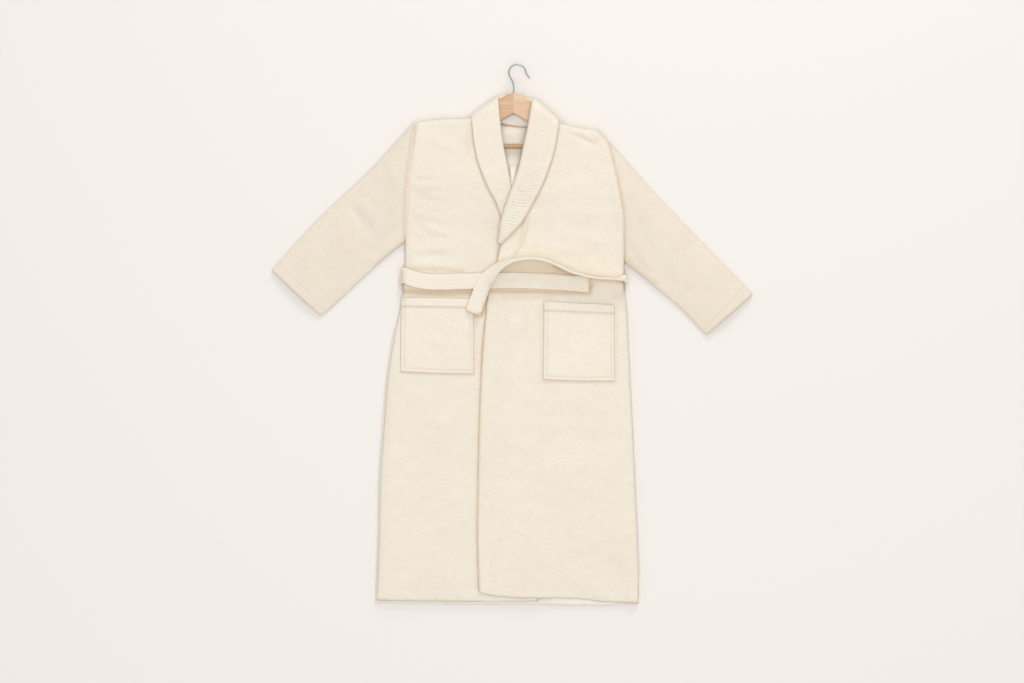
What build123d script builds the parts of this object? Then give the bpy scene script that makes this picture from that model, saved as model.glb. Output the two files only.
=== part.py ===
from build123d import *
import os

os.makedirs("parts", exist_ok=True)

# A terry bathrobe laid out flat on its back, on its wooden hanger, millimetres.
# +Z is up from the surface it lies on, +Y runs from the hem to the hook, and +X is
# the wearer's left. "right" and "left" in names are the wearer's own.

# Driving dimensions
terry = 4.0  # one layer of terry with its pile
collar_thick = 5.0  # the collar is two layers, rolled
gap = 0.3  # air between layers that only lie on each other
wide = 700.0  # more than half the spread, for cutting solids

belt_width = 37.0
belt_thick = 4.5
belt_low, belt_high = 113.0, 113.0 + belt_width  # the belt's back run, along Y
belt_right, belt_left = -266.0, 275.0  # the outsides of its turns round the robe's sides
arch_level = 43.5  # middle of the belt where it stands on its edge
loop_deep, loop_long, loop_wide, loop_thick = 12.0, 64.0, 7.0, 1.6
loop_level = 11.0

under_level = 12.0  # underside of the lower (right) front below the chest
over_level = 16.5  # underside of the upper (left) front below the belt
chest_right, chest_left = 31.0, 35.8  # the fronts' undersides over the hanger

hanger_x, hanger_y, hanger_z = 4.0, 530.0, 22.5  # underside apex of the hanger
hanger_thick = 15.0
hanger_edge = 4.0  # rounding of the arms' long edges
bar_drop, bar_radius, bar_half = 78.0, 6.0, 146.0
pin_radius, pin_long, pin_x = 1.2, 10.0, 141.0
dowel_radius, dowel_long = 1.5, 22.0
wire = 1.8  # radius of the hook's wire
hook_hole = 1.85
head_radius, head_long = 3.4, 4.5
counterbore_radius, counterbore_deep = 3.8, 18.0

sleeve_tall, sleeve_short = 30.0, 16.0  # a sleeve's height at the armhole and the cuff
pocket_gap = 5.2  # room inside a pocket
behind_neck_high = 13.5
right_armhole = [(-233, 513), (-258, 222)]


def save(shape, name):
    export_step(shape, "parts/" + name + ".step")


def outline(*runs):
    """A flat closed face. A run of two points is straight, a longer one is curved."""
    edges = []
    for run in runs:
        edges.append(Line(*run) if len(run) == 2 else Spline(*run))
    return make_face(edges)


def along_y(points):
    """A solid whose section, as (y, z) points, is the same all along X."""
    section = make_face(Polyline(*points, close=True))
    return extrude(Plane.YZ * section, amount=wide, both=True)


def layer(heights, thick):
    """A sheet that follows its underside's (y, z) heights."""
    top = [(y, z + thick) for y, z in reversed(heights)]
    return along_y(heights + top)


def plan(face, low=0.0, high=80.0):
    return extrude(Pos(0, 0, low) * face, amount=high - low)


# Undersides of the layers as (y, z), from below the hem to beyond the hook
hump_top = belt_thick + gap
back_heights = [
    (-700, 0), (belt_low - 14, 0), (belt_low - 2, hump_top),
    (belt_high + 2, hump_top), (belt_high + 14, 0), (700, 0),
]
under_heights = [(-700, under_level), (240, under_level), (385, chest_right), (700, chest_right)]
over_heights = [
    (-700, over_level), (155, over_level), (215, over_level + 6),
    (240, over_level + 6), (350, chest_left), (700, chest_left),
]


def raised(heights, lift):
    return [(y, z + lift) for y, z in heights]


# Lines of the garment in plan, from the collar to the hem
right_shoulder = [(-80, 529), (-112, 523), (-233, 513)]
right_side = [
    (-258, 222), (-258.5, 165), (-260, 105), (-283, -10), (-309, -213), (-322, -470), (-328, -640),
]
left_shoulder = [(82, 520), (112, 511), (202, 495)]
left_armhole_seam = [(202, 495), (231, 462), (250, 374), (262, 300), (270, 179)]
left_side = [(270, 179), (269, 140), (270, 100), (281, -17), (293, -255), (303, -500), (304, -643)]
right_roll = [(-80, 529), (-30, 514), (-21, 459), (1, 350), (26, 270), (42, 190)]
left_roll = [(82, 520), (45, 530), (28, 451), (5, 362), (-18, 295), (-38, 178)]
front_edge = [(-38, 178), (-62, 60), (-75, -103), (-83, -400), (-80, -600)]


def back_face():
    neck = [(82, 520), (4, 500), (-80, 529)]
    side_r = right_side[:-1] + [(-328, -645)]
    side_l = [(305, -650)] + left_side[-2::-1]
    return outline(
        right_shoulder, right_armhole, side_r, [(-328, -645), (305, -650)],
        side_l, left_armhole_seam[::-1], left_shoulder[::-1], neck,
    )


def right_front_face():
    hidden_edge = [(62, -640), (62, -300), (56, 80), (42, 190)]
    return outline(
        right_shoulder, right_armhole, right_side, [(-328, -640), (62, -640)],
        hidden_edge, right_roll[::-1],
    )


def left_front_face():
    corner = [(-58, -626), (-75, -619), (-80, -600)]
    hem = [(304, -643), (120, -634), (-58, -626)]
    return outline(
        left_shoulder, left_armhole_seam, left_side, hem, corner,
        front_edge[::-1], left_roll[::-1],
    )


def back_panel():
    return plan(back_face()) & layer(back_heights, terry)


def seam_wall(face, shift, box, heights):
    """The strip of a front that turns down to the back panel along a seam."""
    strip = face - Pos(*shift) * face
    between = along_y(raised(back_heights, terry) + list(reversed(heights)))
    return plan(strip & box) & between


def front_panel(face, heights, side_shift, side_box, shoulder_box):
    sheet = plan(face) & layer(heights, terry)
    side = seam_wall(face, side_shift, side_box, heights)
    shoulder = seam_wall(face, (0, -terry, 0), shoulder_box, heights)
    return sheet + side + shoulder


def right_front_panel():
    side_box = Pos(-290, -215) * Rectangle(100, 860)
    shoulder_box = Pos(-168, 500) * Rectangle(116, 80)
    return front_panel(right_front_face(), under_heights, (terry, 0, 0), side_box, shoulder_box)


def left_front_panel():
    side_box = Pos(290, -215) * Rectangle(100, 780)
    shoulder_box = Pos(155, 500) * Rectangle(90, 80)
    return front_panel(left_front_face(), over_heights, (-terry, 0, 0), side_box, shoulder_box)


def collar_half(front, back, bridge, front_face, heights):
    """One half of the shawl collar: front strip, neck side and half of the back."""
    strip = plan(front) & layer(raised(heights, terry + gap), collar_thick)
    level = heights[-1][1] + terry + gap + collar_thick
    behind_neck = plan(back - back_face(), gap, behind_neck_high)
    return strip + behind_neck + plan(bridge - front_face - back_face(), gap, level)


def collar_right_half():
    front = outline(
        [(-96, 517), (-89, 440), (-39, 317), (8, 250)], [(8, 250), (31, 250)],
        [(31, 250), (1, 350), (-21, 459), (-31, 545)],
        [(-31, 545), (-31, 572)], [(-31, 572), (-74, 546), (-100, 525)], [(-100, 525), (-96, 517)],
    )
    back = outline(
        [(hanger_x, 490), (-80, 490)], [(-80, 490), (-100, 525)],
        [(-100, 525), (-74, 546), (-31, 572), (hanger_x, 578)], [(hanger_x, 578), (hanger_x, 490)],
    )
    bridge = outline(
        [(-100, 525), (-74, 546), (-31, 572)], [(-31, 572), (-31, 569)],
        [(-31, 569), (-72, 543), (-97, 522)], [(-97, 522), (-100, 525)],
    )
    return collar_half(front, back, bridge, right_front_face(), under_heights)


def collar_left_half():
    front = outline(
        [(108, 511), (97, 437), (67, 356), (9, 262), (-38, 178)],
        [(-38, 178), (-18, 295), (5, 362), (28, 451), (46, 530)],
        [(46, 530), (50, 567)], [(50, 567), (80, 547), (108, 515)], [(108, 515), (108, 511)],
    )
    back = outline(
        [(hanger_x, 490), (82, 490)], [(82, 490), (108, 515)],
        [(108, 515), (80, 547), (50, 567), (hanger_x, 578)], [(hanger_x, 578), (hanger_x, 490)],
    )
    bridge = outline(
        [(108, 515), (80, 547), (50, 567)], [(50, 567), (50, 564)],
        [(50, 564), (78, 544), (105, 513)], [(105, 513), (108, 515)],
    )
    return collar_half(front, back, bridge, left_front_face(), over_heights)


def sleeve(corners, start, cuff):
    """A flattened open tube that tapers in height from armhole to cuff."""
    tall, short = sleeve_tall, sleeve_short
    face = make_face(Polyline(*corners, close=True))
    axis = (Vector(*cuff) - Vector(*start)).normalized()
    long = (Vector(*cuff) - Vector(*start)).length
    side = Plane(origin=(start[0], start[1], 0), x_dir=axis, z_dir=(axis.Y, -axis.X, 0))

    def wedge(low, trim):
        inner_end, outer_end = -250, long + 90
        points = [
            (inner_end, low), (outer_end, low), (outer_end, short - trim),
            (0, tall - trim), (inner_end, tall - trim),
        ]
        return extrude(side * make_face(Polyline(*points, close=True)), amount=wide, both=True)

    shape = plan(face) & wedge(0, 0)
    inner = offset(face, -terry, kind=Kind.INTERSECTION)
    for shift in (-8, 0, 8):
        shape -= plan(Pos(*(axis * shift)) * inner) & wedge(terry, terry)
    return shape


def right_sleeve():
    corners = [(-235.5, 512), (-260.5, 221), (-312, 186), (-460, 45), (-580, 155), (-347, 389)]
    return sleeve(corners, (-250, 365, 0), (-520, 100, 0))


def left_sleeve():
    corners = [(245.5, 463), (278.5, 177), (408, 62), (468, -1), (580, 97), (371, 311)]
    return sleeve(corners, (258, 320, 0), (524, 48, 0))


def pocket(corners, level):
    """A patch pocket: a plate on three walls, open at its top edge."""
    face = make_face(Polyline(*corners, close=True))
    inner = offset(face, -terry)
    mouth = inner + Pos(0, 2 * terry, 0) * inner
    shell = plan(face, level, level + pocket_gap + terry)
    return shell - plan(mouth, level - 1, level + pocket_gap)


def right_pocket():
    return pocket([(-266, 89), (-92, 86), (-92, -94), (-269, -89)], under_level + terry)


def left_pocket():
    return pocket([(76, 80), (246, 72), (247, -112), (74, -108)], over_level + terry)


front_run_level = over_level + terry + gap


def strap_section(x, y, z, heading, roll):
    """The belt's section at a point. heading turns about Z, roll 90 stands it on edge."""
    place = Pos(x, y, z) * Rot(0, 0, heading) * Rot(roll, 0, 0)
    return place * (Plane.YZ * Rectangle(belt_width, belt_thick))


def belt():
    """The belt's run behind the back, round both sides and across the front."""
    top = front_run_level + belt_thick
    middle = (belt_low + belt_high) / 2
    back_run = Pos((belt_left + belt_right) / 2, middle, belt_thick / 2) * Box(
        belt_left - belt_right, belt_width, belt_thick
    )
    right_turn = Pos(belt_right + belt_thick / 2, middle, top / 2) * Box(belt_thick, belt_width, top)
    left_turn = Pos(belt_left - belt_thick / 2, middle, top / 2) * Box(belt_thick, belt_width, top)
    face = outline(
        [(belt_right, 150), (-85, 149), (187, 136)], [(187, 136), (186, 105)],
        [(186, 105), (-60, 109), (-240, 112), (belt_right, 114)], [(belt_right, 114), (belt_right, 150)],
    )
    return back_run + right_turn + left_turn + plan(face, front_run_level, top)


def belt_arch():
    """The belt's other end, standing on its edge as it crosses the front."""
    stations = [
        (270, 132.5, 180, 90), (230, 134, 175, 90), (190, 139, 168, 88), (142, 152, 160, 82),
        (100, 169, 162, 76), (52, 182, 175, 78), (18, 181, 188, 74), (-12, 173, 202, 66),
    ]
    sections = [strap_section(x, y, arch_level, turn, roll) for x, y, turn, roll in stations]
    return loft(sections, ruled=True)


def belt_tail():
    """The free end of the belt, lying over the front run and a pocket's corner."""
    stations = [
        (-15, 171.5, 41, 206, 58), (-40, 156, 33, 222, 24), (-58, 136, 29.5, 232, 0),
        (-74, 111, 28.6, 242, 0), (-101, 52, 28.6, 246, 0),
    ]
    sections = [strap_section(x, y, z, turn, roll) for x, y, z, turn, roll in stations]
    return loft(sections, ruled=True)


def belt_loop(belt_x, side, front_face):
    """A narrow strap sewn to the side seam above and below the belt."""
    middle = (belt_low + belt_high) / 2
    outer_x = belt_x + side * (gap + loop_thick)
    strap_x = outer_x - side * loop_deep / 2
    strap = Pos(strap_x, middle, loop_level) * Box(loop_deep, loop_long, loop_wide)
    room = Box(loop_deep, belt_width + 2, loop_wide)
    room = Pos(strap_x - side * loop_thick, middle, loop_level) * room
    return strap - room - plan(front_face)


def arm_face():
    """The wearer's left arm of the hanger, seen from the front, apex at the origin."""
    return outline(
        [(0, 50), (46, 27), (100, -26), (203, -66)], [(203, -66), (207, -86), (196, -98)],
        [(196, -98), (130, -66), (50, -27), (0, 0)], [(0, 0), (0, 50)],
    )


def at_hanger(shape):
    return Pos(hanger_x, hanger_y, hanger_z) * shape


def along(axis, start, radius, length):
    """A cylinder from start, running length along X, Y or Z in the hanger's frame."""
    plane = Plane(origin=start, z_dir=axis)
    return extrude(plane * Circle(radius), amount=length)


def hook_space():
    hole = along((0, 1, 0), (0, -5, 0), hook_hole, 80)
    return hole + along((0, 1, 0), (0, -5, 0), counterbore_radius, counterbore_deep + 5)


def bar_shape():
    return along((1, 0, 0), (-bar_half, -bar_drop, 0), bar_radius, 2 * bar_half)


def pin_shapes():
    low = -hanger_thick / 2
    return [along((0, 0, 1), (x, -bar_drop, low), pin_radius, pin_long) for x in (-pin_x, pin_x)]


def dowel_shapes():
    places = ((38, -5.5), (12, 5.5))
    return [along((1, 0, 0), (-dowel_long / 2, y, z), dowel_radius, dowel_long) for y, z in places]


def hanger_arm(side):
    face = arm_face() if side > 0 else mirror(arm_face(), Plane.YZ)
    arm = extrude(face, amount=hanger_thick / 2, both=True)
    rims = [e for e in arm.edges() if abs(abs(e.center().Z) - hanger_thick / 2) < 0.01]
    outer = [e for e in rims if abs(e.center().X) > 5]
    arm = fillet(outer, hanger_edge)
    arm -= hook_space()
    arm -= bar_shape()
    for solid in pin_shapes() + dowel_shapes():
        arm -= solid
    return at_hanger(arm)


def trouser_bar():
    bar = bar_shape()
    for pin in pin_shapes():
        bar -= pin
    return at_hanger(bar)


def hook_path():
    shank = Line((0, counterbore_deep - head_long, 0), (0, 62, 0))
    lean = TangentArc((0, 62), (-8, 87), tangent=(0, 1))
    crook = TangentArc(lean @ 1, (7, 118.2), tangent=lean % 1)
    bend = TangentArc(crook @ 1, (29, 101), tangent=crook % 1)
    flare = TangentArc(bend @ 1, (37.5, 86.5), tangent=(0.25, -1))
    return shank, lean, crook, bend, flare


def hook():
    parts = hook_path()
    path = Wire([Edge(p.wrapped) for p in parts])
    section = Plane(origin=parts[0] @ 0, z_dir=(0, 1, 0)) * Circle(wire)
    rod = sweep(section, path=path, transition=Transition.ROUND)
    tip = Pos(*(parts[-1] @ 1)) * Sphere(wire)
    return at_hanger(rod + tip)


def hook_head():
    head = along((0, 1, 0), (0, counterbore_deep - head_long - 0.2, 0), head_radius, head_long)
    return at_hanger(head - along((0, 1, 0), (0, counterbore_deep - head_long, 0), wire, 20))


save(back_panel(), "back_panel")
save(right_front_panel(), "right_front_panel")
save(left_front_panel(), "left_front_panel")
save(collar_right_half(), "collar_right_half")
save(collar_left_half(), "collar_left_half")
save(right_sleeve(), "right_sleeve")
save(left_sleeve(), "left_sleeve")
save(right_pocket(), "right_pocket")
save(left_pocket(), "left_pocket")
save(belt(), "belt")
save(belt_arch(), "belt_arch")
save(belt_tail(), "belt_tail")
save(belt_loop(belt_right, -1, right_front_face()), "right_belt_loop")
save(belt_loop(belt_left, 1, left_front_face()), "left_belt_loop")
save(hanger_arm(-1), "hanger_right_arm")
save(hanger_arm(1), "hanger_left_arm")
save(trouser_bar(), "trouser_bar")
save(at_hanger(Compound(pin_shapes())), "bar_pins")
save(at_hanger(Compound(dowel_shapes())), "centre_dowels")
save(hook(), "hook")
save(hook_head(), "hook_head")
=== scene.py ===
import math

import bmesh
import bpy
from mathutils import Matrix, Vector, noise


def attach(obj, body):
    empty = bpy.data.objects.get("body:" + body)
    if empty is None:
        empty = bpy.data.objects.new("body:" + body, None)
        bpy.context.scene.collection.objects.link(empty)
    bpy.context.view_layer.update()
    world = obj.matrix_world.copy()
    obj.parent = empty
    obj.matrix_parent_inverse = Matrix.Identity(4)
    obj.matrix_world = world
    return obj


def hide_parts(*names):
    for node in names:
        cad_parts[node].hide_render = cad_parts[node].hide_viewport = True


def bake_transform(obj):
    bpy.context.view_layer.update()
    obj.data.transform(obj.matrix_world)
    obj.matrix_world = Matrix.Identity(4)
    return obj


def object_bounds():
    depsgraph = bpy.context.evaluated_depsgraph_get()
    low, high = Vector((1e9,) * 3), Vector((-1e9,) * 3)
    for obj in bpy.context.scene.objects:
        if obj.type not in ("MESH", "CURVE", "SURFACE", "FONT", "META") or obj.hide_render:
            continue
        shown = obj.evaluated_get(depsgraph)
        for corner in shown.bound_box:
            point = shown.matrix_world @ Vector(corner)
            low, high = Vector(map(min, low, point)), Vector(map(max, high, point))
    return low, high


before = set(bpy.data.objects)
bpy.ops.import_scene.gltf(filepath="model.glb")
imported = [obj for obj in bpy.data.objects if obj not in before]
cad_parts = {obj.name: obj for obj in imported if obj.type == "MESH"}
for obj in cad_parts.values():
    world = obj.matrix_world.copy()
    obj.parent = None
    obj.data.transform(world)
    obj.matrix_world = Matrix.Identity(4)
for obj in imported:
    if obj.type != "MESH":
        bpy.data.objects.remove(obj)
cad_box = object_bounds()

# The studio: a wide pale sheet under the robe, a big soft light above it, a window
# beyond the hook and a bright room all round, seen by a camera straight above.
floor_half, floor_drop = 9.0, 0.0006
floor_mesh = bmesh.new()
bmesh.ops.create_grid(floor_mesh, x_segments=2, y_segments=2, size=floor_half)
floor_data = bpy.data.meshes.new("floor")
floor_mesh.to_mesh(floor_data)
floor = bpy.data.objects.new("floor", floor_data)
bpy.context.scene.collection.objects.link(floor)
floor.location.z = -floor_drop

floor_paint = bpy.data.materials.new("pale_floor")
floor_paint.use_nodes = True
floor_shader = floor_paint.node_tree.nodes["Principled BSDF"]
floor_shader.inputs["Base Color"].default_value = (0.845, 0.805, 0.762, 1)
floor_shader.inputs["Roughness"].default_value = 0.9
floor_shader.inputs["Specular IOR Level"].default_value = 0.1
floor_data.materials.append(floor_paint)

room = bpy.data.worlds.new("bright_room")
room.use_nodes = True
room_nodes, room_links = room.node_tree.nodes, room.node_tree.links
glow = room_nodes["Background"]
glow.inputs["Color"].default_value = (0.97, 0.98, 1.0, 1)
glow.inputs["Strength"].default_value = 0.64
backdrop = room_nodes.new("ShaderNodeBackground")
backdrop.inputs["Color"].default_value = (0.90, 0.885, 0.865, 1)
seen = room_nodes.new("ShaderNodeLightPath")
room_mix = room_nodes.new("ShaderNodeMixShader")
room_links.new(seen.outputs["Is Camera Ray"], room_mix.inputs[0])
room_links.new(glow.outputs[0], room_mix.inputs[1])
room_links.new(backdrop.outputs[0], room_mix.inputs[2])
room_links.new(room_mix.outputs[0], room_nodes["World Output"].inputs["Surface"])
bpy.context.scene.world = room


def soft_light(name, place, aim, size, watts):
    lamp = bpy.data.lights.new(name, "AREA")
    lamp.color = (1.0, 0.985, 0.955)
    lamp.size = size
    lamp.energy = watts
    lamp_object = bpy.data.objects.new(name, lamp)
    bpy.context.scene.collection.objects.link(lamp_object)
    lamp_object.location = place
    lamp_object.rotation_euler = (Vector(aim) - Vector(place)).to_track_quat("-Z", "Y").to_euler()


soft_light("overhead", (0.25, -0.45, 6.2), (0, -0.2, 0), 5.5, 174)
soft_light("window", (0.9, 4.6, 2.4), (0, -0.3, 0), 1.4, 67)

middle = (cad_box[0][1] + cad_box[1][1]) / 2
lens_mm, sensor_mm, seen_width = 85.0, 36.0, 2.4576
below_middle, robe_height = 0.0162, 0.02
camera_data = bpy.data.cameras.new("camera")
camera_data.lens = lens_mm
camera_data.sensor_width = sensor_mm
camera = bpy.data.objects.new("camera", camera_data)
bpy.context.scene.collection.objects.link(camera)
camera.location = (0, middle - below_middle, seen_width * lens_mm / sensor_mm + robe_height)
bpy.context.scene.camera = camera
bpy.context.scene.view_settings.view_transform = "Standard"

# Terry is cotton cloth with a short looped pile on both faces, left undyed. Its pile
# and its rows of stitching are node groups, shared by every cloth piece of the robe.
mm = 0.001


def node_group(name, sockets_in, sockets_out):
    group = bpy.data.node_groups.new(name, "ShaderNodeTree")
    for label, kind in sockets_in:
        group.interface.new_socket(label, in_out="INPUT", socket_type=kind)
    for label, kind in sockets_out:
        group.interface.new_socket(label, in_out="OUTPUT", socket_type=kind)
    return group, group.nodes.new("NodeGroupInput"), group.nodes.new("NodeGroupOutput")


def math_node(nodes, links, operation, first, second=None, third=None):
    node = nodes.new("ShaderNodeMath")
    node.operation = operation
    for socket, value in zip(node.inputs, (first, second, third)):
        if isinstance(value, (int, float)):
            socket.default_value = value
        elif value is not None:
            links.new(value, socket)
    return node.outputs[0]


def pile_group():
    """Loops about 2 mm across in small clumps, and the slow unevenness of the cloth."""
    group, inside, outside = node_group(
        "terry_pile", [("Vector", "NodeSocketVector")],
        [("Height", "NodeSocketFloat"), ("Tone", "NodeSocketFloat")],
    )
    nodes, links = group.nodes, group.links

    def noise_at(scale, detail):
        node = nodes.new("ShaderNodeTexNoise")
        node.inputs["Scale"].default_value = scale
        node.inputs["Detail"].default_value = detail
        links.new(inside.outputs["Vector"], node.inputs["Vector"])
        return node.outputs["Fac"]

    def loops_at(scale):
        node = nodes.new("ShaderNodeTexVoronoi")
        node.inputs["Scale"].default_value = scale
        links.new(inside.outputs["Vector"], node.inputs["Vector"])
        return node.outputs["Distance"]

    clumps = noise_at(130, 3)
    drift = noise_at(9, 2)
    patch = noise_at(42, 3)
    loops = math_node(nodes, links, "SUBTRACT", 1.0, loops_at(430))
    fine = math_node(nodes, links, "SUBTRACT", 1.0, loops_at(900))
    height = math_node(nodes, links, "MULTIPLY_ADD", fine, 0.35, loops)
    height = math_node(nodes, links, "MULTIPLY_ADD", clumps, 2.2, height)
    height = math_node(nodes, links, "MULTIPLY_ADD", patch, 1.2, height)
    tone = math_node(nodes, links, "MULTIPLY", clumps, 0.55)
    tone = math_node(nodes, links, "MULTIPLY_ADD", patch, 0.5, tone)
    tone = math_node(nodes, links, "MULTIPLY_ADD", drift, 0.45, tone)
    tone = math_node(nodes, links, "MULTIPLY_ADD", loops, 0.25, tone)
    links.new(height, outside.inputs["Height"])
    links.new(math_node(nodes, links, "SUBTRACT", tone, 0.42), outside.inputs["Tone"])
    return group


def stitch_group():
    """A sunk line of stitching where Distance from an edge equals At, in metres."""
    group, inside, outside = node_group(
        "stitch_line",
        [("Distance", "NodeSocketFloat"), ("At", "NodeSocketFloat"), ("Width", "NodeSocketFloat")],
        [("Line", "NodeSocketFloat")],
    )
    nodes, links = group.nodes, group.links
    away = math_node(nodes, links, "SUBTRACT", inside.outputs["Distance"], inside.outputs["At"])
    away = math_node(nodes, links, "ABSOLUTE", away)
    share = math_node(nodes, links, "DIVIDE", away, inside.outputs["Width"])
    line = math_node(nodes, links, "SUBTRACT", 1.0, share)
    line = math_node(nodes, links, "MAXIMUM", line, 0.0)
    links.new(line, outside.inputs["Line"])
    return group


painted_shade_brown = (0.68, 0.50, 0.31)  # the brown of painted shade, mixed into the cloth where it lies in creases, beside seams and under other parts
terry_pile = pile_group()
stitch_line = stitch_group()


def terry_material(name, light, dark, pile_bump=1.0, lines=()):
    """Terry cloth. lines are (UV axis, from which end, at, width, depth) of stitching."""
    paint = bpy.data.materials.new(name)
    paint.use_nodes = True
    nodes, links = paint.node_tree.nodes, paint.node_tree.links
    shader = nodes["Principled BSDF"]
    shader.inputs["Roughness"].default_value = 0.95
    shader.inputs["Specular IOR Level"].default_value = 0.12
    shader.inputs["Sheen Weight"].default_value = 0.22
    shader.inputs["Sheen Roughness"].default_value = 0.6
    place = nodes.new("ShaderNodeTexCoord")
    pile = nodes.new("ShaderNodeGroup")
    pile.node_tree = terry_pile
    links.new(place.outputs["Object"], pile.inputs["Vector"])
    height, tone = pile.outputs["Height"], pile.outputs["Tone"]
    if lines:
        along = nodes.new("ShaderNodeSeparateXYZ")
        links.new(place.outputs["UV"], along.inputs[0])
    for axis, end, at, width, depth in lines:
        distance = along.outputs[axis]
        if end:
            distance = math_node(nodes, links, "SUBTRACT", end, distance)
        stitch = nodes.new("ShaderNodeGroup")
        stitch.node_tree = stitch_line
        links.new(distance, stitch.inputs["Distance"])
        stitch.inputs["At"].default_value = at
        stitch.inputs["Width"].default_value = width
        height = math_node(nodes, links, "MULTIPLY_ADD", stitch.outputs["Line"], -depth, height)
        # The sunk stitching is also painted a little darker, a painted shade in its groove.
        tone = math_node(nodes, links, "MULTIPLY_ADD", stitch.outputs["Line"], -0.05 * depth, tone)
    mix = nodes.new("ShaderNodeMix")
    mix.data_type = "RGBA"
    links.new(tone, mix.inputs["Factor"])
    mix.inputs["A"].default_value = (*dark, 1)
    mix.inputs["B"].default_value = (*light, 1)
    # The seam attribute holds painted shade: where it is high, the colour turns towards the painted shade
    # brown.
    seam_roll_and_painted_shade = nodes.new("ShaderNodeAttribute")
    seam_roll_and_painted_shade.attribute_name = "seam_roll_and_painted_shade"
    painted_shade_mix = nodes.new("ShaderNodeMix")
    painted_shade_mix.data_type = "RGBA"
    links.new(seam_roll_and_painted_shade.outputs["Fac"], painted_shade_mix.inputs["Factor"])
    links.new(mix.outputs["Result"], painted_shade_mix.inputs["A"])
    painted_shade_mix.inputs["B"].default_value = (*painted_shade_brown, 1)
    links.new(painted_shade_mix.outputs["Result"], shader.inputs["Base Color"])
    bump = nodes.new("ShaderNodeBump")
    bump.inputs["Strength"].default_value = 0.55 * pile_bump
    bump.inputs["Distance"].default_value = 0.0011
    links.new(height, bump.inputs["Height"])
    links.new(bump.outputs["Normal"], shader.inputs["Normal"])
    return paint


# The back panel lies flat under everything, its hem edge just past the fronts'. It is
# cut in one piece of terry, dips at the neck and rises over the belt that runs behind.


def smooth(*knots):
    """A smooth value through (where, value) knots."""

    def slope(i):
        before, after = knots[max(i - 1, 0)], knots[min(i + 1, len(knots) - 1)]
        return (after[1] - before[1]) / (after[0] - before[0])

    def value(at):
        at = min(max(at, knots[0][0]), knots[-1][0])
        i = max(k for k in range(len(knots) - 1) if knots[k][0] <= at)
        (start, low), (end, high) = knots[i], knots[i + 1]
        span = end - start
        s = (at - start) / span
        return (
            (1 + 2 * s) * (1 - s) ** 2 * low + s * (1 - s) ** 2 * span * slope(i)
            + s * s * (3 - 2 * s) * high + s * s * (s - 1) * span * slope(i + 1)
        )

    return value


def shares_of(points):
    """How far along a line each of its points is, from 0 to 1."""
    steps = [0.0]
    for a, b in zip(points, points[1:]):
        steps.append(steps[-1] + (Vector(b) - Vector(a)).length)
    return [step / steps[-1] for step in steps]


def drawn(*points):
    """A curve through points, by the share of its length from 0 to 1."""
    return smooth(*zip(shares_of(points), (Vector(p) for p in points)))


def rolled(distance, radius):
    """1 well inside a rolled edge, falling to 0 on the edge itself."""
    near = max(0.0, 1 - distance / radius)
    return math.sqrt(max(0.0, 1 - near * near))


def beside(x, y, x0, y0, x1, y1):
    """The nearest place on a straight line, as a share of it, and how far away it is."""
    dx, dy = x1 - x0, y1 - y0
    t = min(max(((x - x0) * dx + (y - y0) * dy) / (dx * dx + dy * dy), 0), 1)
    return t, math.hypot(x - x0 - t * dx, y - y0 - t * dy)


def folds_at(x, y, folds):
    """The lift of soft folds, each (x, y, x, y, width, height), fading at both ends."""
    lift = 0.0
    for x0, y0, x1, y1, width, height in folds:
        t, away = beside(x, y, x0, y0, x1, y1)
        away /= width
        if away < 3:
            lift += height * math.exp(-away * away) * min(1, 5 * t * (1 - t) + 0.05)
    return lift


def near_line(x, y, lines):
    """How near a point is to lines, each (points, width, strength), at most 1."""
    near = 0.0
    for points, width, strength in lines:
        for start, end in zip(points, points[1:]):
            away = beside(x, y, *start, *end)[1] / width
            if away < 3:
                near = max(near, strength * math.exp(-away * away))
    return near


def uneven(x, y, seed):
    """The slow and the small waves that any piece of laid cloth has, in mm."""
    slow = noise.noise(Vector((x / 150, y / 150, seed)))
    mid = noise.noise(Vector((x / 62, y / 30, seed + 7)))
    small = noise.noise(Vector((x / 17, y / 17, seed + 19)))
    pile = noise.noise(Vector((x / 4.2, y / 4.2, seed + 31)))
    return 1.5 * slow + 1.1 * mid + 0.36 * small + 0.24 * pile


def cloth(name, mesh, paint, body, thick=4.0, smooth_levels=1, shades=()):
    """Turns a top face in mm into cloth of a thickness. shades are lines of painted shade on it, in its deep
    creases and where other parts shade it.
    """
    # Each vertex keeps how much painted shade it gets, from how near it lies to the shade lines.
    if shades:
        seam_roll_and_painted_shade = mesh.verts.layers.float.new("seam_roll_and_painted_shade")
        for vert in mesh.verts:
            vert[seam_roll_and_painted_shade] = near_line(vert.co.x, vert.co.y, shades)
    bmesh.ops.scale(mesh, vec=(mm, mm, mm), verts=mesh.verts)
    data = bpy.data.meshes.new(name)
    mesh.to_mesh(data)
    mesh.free()
    data.shade_smooth()
    piece = bpy.data.objects.new(name, data)
    bpy.context.scene.collection.objects.link(piece)
    data.materials.append(paint)
    if thick:
        wall = piece.modifiers.new("cloth", "SOLIDIFY")
        wall.thickness = thick * mm
        wall.offset = -1
        wall.use_even_offset = False
    if smooth_levels:
        soft = piece.modifiers.new("soft", "SUBSURF")
        soft.levels = soft.render_levels = smooth_levels
    if body:
        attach(piece, body)
    return piece


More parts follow.
